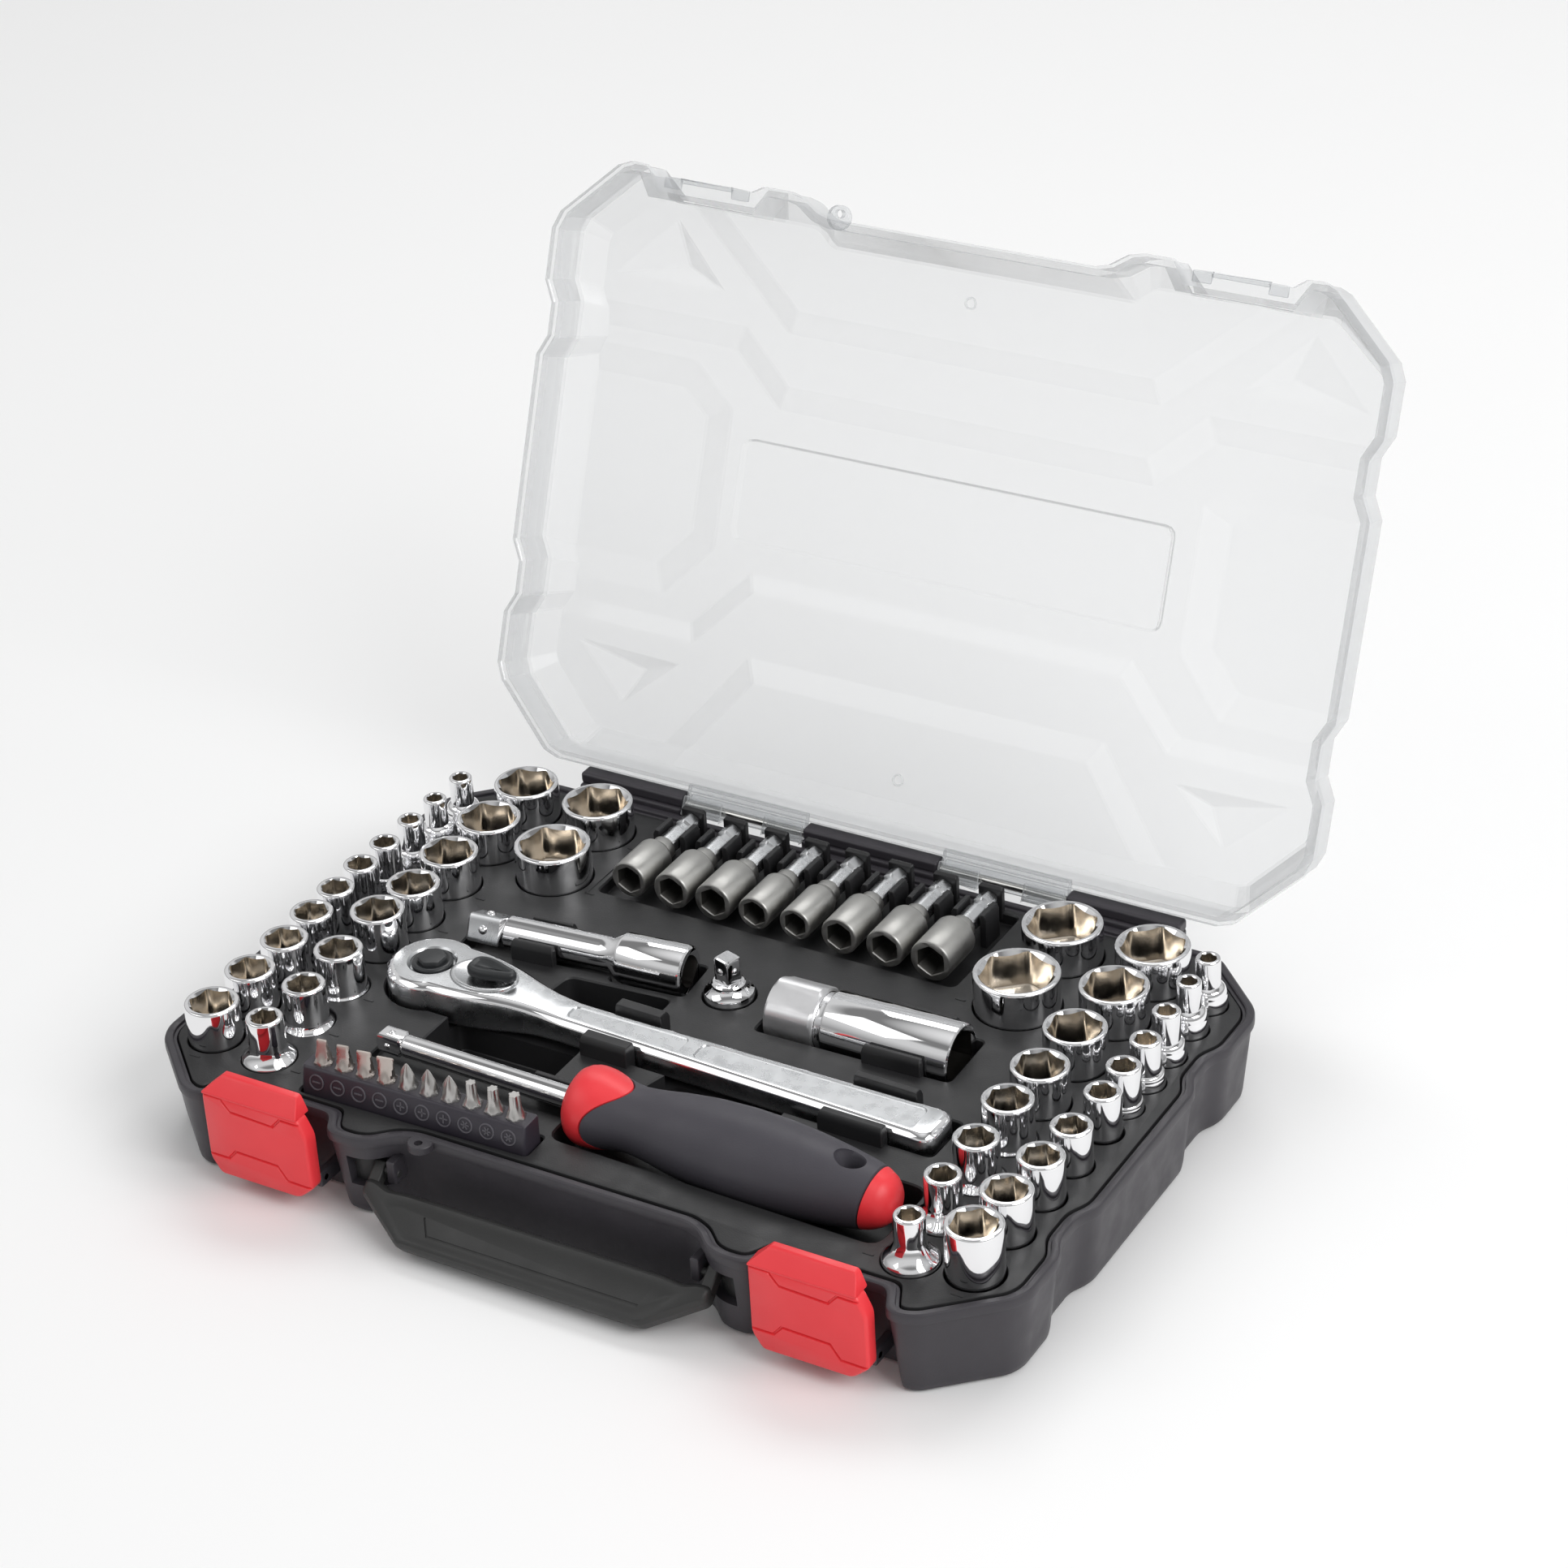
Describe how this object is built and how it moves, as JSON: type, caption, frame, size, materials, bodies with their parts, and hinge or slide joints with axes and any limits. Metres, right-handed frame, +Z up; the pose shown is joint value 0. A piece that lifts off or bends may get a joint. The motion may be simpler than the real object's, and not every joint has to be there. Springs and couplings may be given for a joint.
{
  "type": "socket wrench set in case",
  "caption": "Open carrying case with a clear hinged lid, latches and a handle, and a tray of sockets, a ratchet, a driver, an extension bar, nut setters and bits.",
  "frame": {"origin": "centre of the case's flat underside, where it rests on a bench", "axes": "+Z up, -Y the front with the latches and the carry handle, +Y the lid hinge, +X right from the front"},
  "size_m": [0.3, 0.3081, 0.2243],
  "materials": {
    "case_charcoal": "satin moulded plastic",
    "tray_black": "fine grained moulded plastic",
    "handle_charcoal": "satin moulded plastic",
    "latch_red": "glossy red plastic",
    "clear_lid": "clear transparent plastic",
    "polished_chrome": "mirror polished",
    "satin_chrome": "satin chrome",
    "satin_grey": "grey satin plated steel",
    "grip_charcoal": "fine grained soft grip",
    "lever_black": "satin black",
    "bit_steel": "grey plated steel"
  },
  "bodies": {
    "case": {"case_base": "case_charcoal", "socket_tray": "tray_black"},
    "lid": {"lid": "clear_lid"},
    "latch_left": {"latch_left": "latch_red"},
    "latch_right": {"latch_right": "latch_red"},
    "carry_handle": {"carry_handle": "handle_charcoal"},
    "ratchet": {"ratchet_body": "satin_chrome"},
    "reversing_lever": {"reversing_lever": "lever_black"},
    "release_button": {"release_button": "lever_black"},
    "drive_square": {"drive_square": "satin_chrome"},
    "driver": {"driver_handle": "grip_charcoal", "driver_shaft": "polished_chrome"},
    "extension_bar": {"extension_bar": "polished_chrome"},
    "drive_adapter": {"drive_adapter": "polished_chrome"},
    "spark_plug_socket": {"spark_plug_socket": "polished_chrome"},
    "bit_rail": {"bit_rail": "bit_steel"},
    "nut_setter_1": {"nut_setter_1": "satin_grey"},
    "nut_setter_2": {"nut_setter_2": "satin_grey"},
    "nut_setter_3": {"nut_setter_3": "satin_grey"},
    "nut_setter_4": {"nut_setter_4": "satin_grey"},
    "nut_setter_5": {"nut_setter_5": "satin_grey"},
    "nut_setter_6": {"nut_setter_6": "satin_grey"},
    "nut_setter_7": {"nut_setter_7": "satin_grey"},
    "nut_setter_8": {"nut_setter_8": "satin_grey"},
    "socket_quarter_left_1": {"socket_quarter_left_1": "polished_chrome"},
    "socket_quarter_left_2": {"socket_quarter_left_2": "polished_chrome"},
    "socket_quarter_left_3": {"socket_quarter_left_3": "polished_chrome"},
    "socket_quarter_left_4": {"socket_quarter_left_4": "polished_chrome"},
    "socket_quarter_left_5": {"socket_quarter_left_5": "polished_chrome"},
    "socket_quarter_left_6": {"socket_quarter_left_6": "polished_chrome"},
    "socket_quarter_left_7": {"socket_quarter_left_7": "polished_chrome"},
    "socket_quarter_left_8": {"socket_quarter_left_8": "polished_chrome"},
    "socket_quarter_right_1": {"socket_quarter_right_1": "polished_chrome"},
    "socket_quarter_right_2": {"socket_quarter_right_2": "polished_chrome"},
    "socket_quarter_right_3": {"socket_quarter_right_3": "polished_chrome"},
    "socket_quarter_right_4": {"socket_quarter_right_4": "polished_chrome"},
    "socket_quarter_right_5": {"socket_quarter_right_5": "polished_chrome"},
    "socket_quarter_right_6": {"socket_quarter_right_6": "polished_chrome"},
    "socket_quarter_right_7": {"socket_quarter_right_7": "polished_chrome"},
    "socket_quarter_right_8": {"socket_quarter_right_8": "polished_chrome"},
    "socket_three_eighth_left_1": {"socket_three_eighth_left_1": "polished_chrome"},
    "socket_three_eighth_left_2": {"socket_three_eighth_left_2": "polished_chrome"},
    "socket_three_eighth_left_3": {"socket_three_eighth_left_3": "polished_chrome"},
    "socket_three_eighth_left_4": {"socket_three_eighth_left_4": "polished_chrome"},
    "socket_three_eighth_left_5": {"socket_three_eighth_left_5": "polished_chrome"},
    "socket_three_eighth_left_6": {"socket_three_eighth_left_6": "polished_chrome"},
    "socket_three_eighth_left_7": {"socket_three_eighth_left_7": "polished_chrome"},
    "socket_three_eighth_left_8": {"socket_three_eighth_left_8": "polished_chrome"},
    "socket_three_eighth_left_9": {"socket_three_eighth_left_9": "polished_chrome"},
    "socket_three_eighth_left_10": {"socket_three_eighth_left_10": "polished_chrome"},
    "socket_three_eighth_right_1": {"socket_three_eighth_right_1": "polished_chrome"},
    "socket_three_eighth_right_2": {"socket_three_eighth_right_2": "polished_chrome"},
    "socket_three_eighth_right_3": {"socket_three_eighth_right_3": "polished_chrome"},
    "socket_three_eighth_right_4": {"socket_three_eighth_right_4": "polished_chrome"},
    "socket_three_eighth_right_5": {"socket_three_eighth_right_5": "polished_chrome"},
    "socket_three_eighth_right_6": {"socket_three_eighth_right_6": "polished_chrome"},
    "socket_three_eighth_right_7": {"socket_three_eighth_right_7": "polished_chrome"},
    "socket_three_eighth_right_8": {"socket_three_eighth_right_8": "polished_chrome"},
    "socket_three_eighth_right_9": {"socket_three_eighth_right_9": "polished_chrome"},
    "socket_three_eighth_right_10": {"socket_three_eighth_right_10": "polished_chrome"}
  },
  "joints": [
    {"name": "case_lid_swing", "type": "hinge", "parent": "case", "child": "lid", "pos_m": [0, 0.1059, 0.0322], "axis": [-1, 0, 0], "range_deg": [-111.6, 0]},
    {"name": "case_latch_left_swing", "type": "hinge", "parent": "case", "child": "latch_left", "pos_m": [-0.095, -0.0956, 0.0096], "axis": [1, 0, 0], "range_deg": [0, 90]},
    {"name": "case_latch_right_swing", "type": "hinge", "parent": "case", "child": "latch_right", "pos_m": [0.095, -0.0956, 0.0096], "axis": [1, 0, 0], "range_deg": [0, 90]},
    {"name": "carry_handle_swing", "type": "hinge", "parent": "case", "child": "carry_handle", "pos_m": [0, -0.093, 0.0172], "axis": [-1, 0, 0], "range_deg": [0, 65]},
    {"name": "ratchet_lift", "type": "slide", "parent": "case", "child": "ratchet", "axis": [0, 0, 1], "range_m": [0, 0.04]},
    {"name": "reversing_lever_swing", "type": "hinge", "parent": "ratchet", "child": "reversing_lever", "pos_m": [-0.06871, -0.01803, 0.036], "axis": [0, 0, 1], "range_deg": [-22, 22]},
    {"name": "release_button_press", "type": "slide", "parent": "ratchet", "child": "release_button", "axis": [0, 0, -1], "range_m": [0, 0.0015], "stiffness_N_per_m": 300, "springref_m": -0.001},
    {"name": "drive_square_spin", "type": "hinge", "parent": "ratchet", "child": "drive_square", "pos_m": [-0.0885, -0.0176, 0.02], "axis": [0, 0, 1], "continuous": true},
    {"name": "driver_lift", "type": "slide", "parent": "case", "child": "driver", "axis": [0, 0, 1], "range_m": [0, 0.04]},
    {"name": "bit_rail_lift", "type": "slide", "parent": "case", "child": "bit_rail", "axis": [0, 0, 1], "range_m": [0, 0.04]},
    {"name": "extension_bar_lift", "type": "slide", "parent": "case", "child": "extension_bar", "axis": [0, 0, 1], "range_m": [0, 0.03]},
    {"name": "drive_adapter_lift", "type": "slide", "parent": "case", "child": "drive_adapter", "axis": [0, 0, 1], "range_m": [0, 0.03]},
    {"name": "spark_plug_socket_lift", "type": "slide", "parent": "case", "child": "spark_plug_socket", "axis": [0, 0, 1], "range_m": [0, 0.03]},
    {"name": "nut_setter_1_lift", "type": "slide", "parent": "case", "child": "nut_setter_1", "axis": [0, 0, 1], "range_m": [0, 0.02]},
    {"name": "nut_setter_2_lift", "type": "slide", "parent": "case", "child": "nut_setter_2", "axis": [0, 0, 1], "range_m": [0, 0.02]},
    {"name": "nut_setter_3_lift", "type": "slide", "parent": "case", "child": "nut_setter_3", "axis": [0, 0, 1], "range_m": [0, 0.02]},
    {"name": "nut_setter_4_lift", "type": "slide", "parent": "case", "child": "nut_setter_4", "axis": [0, 0, 1], "range_m": [0, 0.02]},
    {"name": "nut_setter_5_lift", "type": "slide", "parent": "case", "child": "nut_setter_5", "axis": [0, 0, 1], "range_m": [0, 0.02]},
    {"name": "nut_setter_6_lift", "type": "slide", "parent": "case", "child": "nut_setter_6", "axis": [0, 0, 1], "range_m": [0, 0.02]},
    {"name": "nut_setter_7_lift", "type": "slide", "parent": "case", "child": "nut_setter_7", "axis": [0, 0, 1], "range_m": [0, 0.02]},
    {"name": "nut_setter_8_lift", "type": "slide", "parent": "case", "child": "nut_setter_8", "axis": [0, 0, 1], "range_m": [0, 0.02]},
    {"name": "socket_quarter_left_1_lift", "type": "slide", "parent": "case", "child": "socket_quarter_left_1", "axis": [0, 0, 1], "range_m": [0, 0.03]},
    {"name": "socket_quarter_left_2_lift", "type": "slide", "parent": "case", "child": "socket_quarter_left_2", "axis": [0, 0, 1], "range_m": [0, 0.03]},
    {"name": "socket_quarter_left_3_lift", "type": "slide", "parent": "case", "child": "socket_quarter_left_3", "axis": [0, 0, 1], "range_m": [0, 0.03]},
    {"name": "socket_quarter_left_4_lift", "type": "slide", "parent": "case", "child": "socket_quarter_left_4", "axis": [0, 0, 1], "range_m": [0, 0.03]},
    {"name": "socket_quarter_left_5_lift", "type": "slide", "parent": "case", "child": "socket_quarter_left_5", "axis": [0, 0, 1], "range_m": [0, 0.03]},
    {"name": "socket_quarter_left_6_lift", "type": "slide", "parent": "case", "child": "socket_quarter_left_6", "axis": [0, 0, 1], "range_m": [0, 0.03]},
    {"name": "socket_quarter_left_7_lift", "type": "slide", "parent": "case", "child": "socket_quarter_left_7", "axis": [0, 0, 1], "range_m": [0, 0.03]},
    {"name": "socket_quarter_left_8_lift", "type": "slide", "parent": "case", "child": "socket_quarter_left_8", "axis": [0, 0, 1], "range_m": [0, 0.03]},
    {"name": "socket_quarter_right_1_lift", "type": "slide", "parent": "case", "child": "socket_quarter_right_1", "axis": [0, 0, 1], "range_m": [0, 0.03]},
    {"name": "socket_quarter_right_2_lift", "type": "slide", "parent": "case", "child": "socket_quarter_right_2", "axis": [0, 0, 1], "range_m": [0, 0.03]},
    {"name": "socket_quarter_right_3_lift", "type": "slide", "parent": "case", "child": "socket_quarter_right_3", "axis": [0, 0, 1], "range_m": [0, 0.03]},
    {"name": "socket_quarter_right_4_lift", "type": "slide", "parent": "case", "child": "socket_quarter_right_4", "axis": [0, 0, 1], "range_m": [0, 0.03]},
    {"name": "socket_quarter_right_5_lift", "type": "slide", "parent": "case", "child": "socket_quarter_right_5", "axis": [0, 0, 1], "range_m": [0, 0.03]},
    {"name": "socket_quarter_right_6_lift", "type": "slide", "parent": "case", "child": "socket_quarter_right_6", "axis": [0, 0, 1], "range_m": [0, 0.03]},
    {"name": "socket_quarter_right_7_lift", "type": "slide", "parent": "case", "child": "socket_quarter_right_7", "axis": [0, 0, 1], "range_m": [0, 0.03]},
    {"name": "socket_quarter_right_8_lift", "type": "slide", "parent": "case", "child": "socket_quarter_right_8", "axis": [0, 0, 1], "range_m": [0, 0.03]},
    {"name": "socket_three_eighth_left_1_lift", "type": "slide", "parent": "case", "child": "socket_three_eighth_left_1", "axis": [0, 0, 1], "range_m": [0, 0.03]},
    {"name": "socket_three_eighth_left_2_lift", "type": "slide", "parent": "case", "child": "socket_three_eighth_left_2", "axis": [0, 0, 1], "range_m": [0, 0.03]},
    {"name": "socket_three_eighth_left_3_lift", "type": "slide", "parent": "case", "child": "socket_three_eighth_left_3", "axis": [0, 0, 1], "range_m": [0, 0.03]},
    {"name": "socket_three_eighth_left_4_lift", "type": "slide", "parent": "case", "child": "socket_three_eighth_left_4", "axis": [0, 0, 1], "range_m": [0, 0.03]},
    {"name": "socket_three_eighth_left_5_lift", "type": "slide", "parent": "case", "child": "socket_three_eighth_left_5", "axis": [0, 0, 1], "range_m": [0, 0.03]},
    {"name": "socket_three_eighth_left_6_lift", "type": "slide", "parent": "case", "child": "socket_three_eighth_left_6", "axis": [0, 0, 1], "range_m": [0, 0.03]},
    {"name": "socket_three_eighth_left_7_lift", "type": "slide", "parent": "case", "child": "socket_three_eighth_left_7", "axis": [0, 0, 1], "range_m": [0, 0.03]},
    {"name": "socket_three_eighth_left_8_lift", "type": "slide", "parent": "case", "child": "socket_three_eighth_left_8", "axis": [0, 0, 1], "range_m": [0, 0.03]},
    {"name": "socket_three_eighth_left_9_lift", "type": "slide", "parent": "case", "child": "socket_three_eighth_left_9", "axis": [0, 0, 1], "range_m": [0, 0.03]},
    {"name": "socket_three_eighth_left_10_lift", "type": "slide", "parent": "case", "child": "socket_three_eighth_left_10", "axis": [0, 0, 1], "range_m": [0, 0.03]},
    {"name": "socket_three_eighth_right_1_lift", "type": "slide", "parent": "case", "child": "socket_three_eighth_right_1", "axis": [0, 0, 1], "range_m": [0, 0.03]},
    {"name": "socket_three_eighth_right_2_lift", "type": "slide", "parent": "case", "child": "socket_three_eighth_right_2", "axis": [0, 0, 1], "range_m": [0, 0.03]},
    {"name": "socket_three_eighth_right_3_lift", "type": "slide", "parent": "case", "child": "socket_three_eighth_right_3", "axis": [0, 0, 1], "range_m": [0, 0.03]},
    {"name": "socket_three_eighth_right_4_lift", "type": "slide", "parent": "case", "child": "socket_three_eighth_right_4", "axis": [0, 0, 1], "range_m": [0, 0.03]},
    {"name": "socket_three_eighth_right_5_lift", "type": "slide", "parent": "case", "child": "socket_three_eighth_right_5", "axis": [0, 0, 1], "range_m": [0, 0.03]},
    {"name": "socket_three_eighth_right_6_lift", "type": "slide", "parent": "case", "child": "socket_three_eighth_right_6", "axis": [0, 0, 1], "range_m": [0, 0.03]},
    {"name": "socket_three_eighth_right_7_lift", "type": "slide", "parent": "case", "child": "socket_three_eighth_right_7", "axis": [0, 0, 1], "range_m": [0, 0.03]},
    {"name": "socket_three_eighth_right_8_lift", "type": "slide", "parent": "case", "child": "socket_three_eighth_right_8", "axis": [0, 0, 1], "range_m": [0, 0.03]},
    {"name": "socket_three_eighth_right_9_lift", "type": "slide", "parent": "case", "child": "socket_three_eighth_right_9", "axis": [0, 0, 1], "range_m": [0, 0.03]},
    {"name": "socket_three_eighth_right_10_lift", "type": "slide", "parent": "case", "child": "socket_three_eighth_right_10", "axis": [0, 0, 1], "range_m": [0, 0.03]}
  ]
}
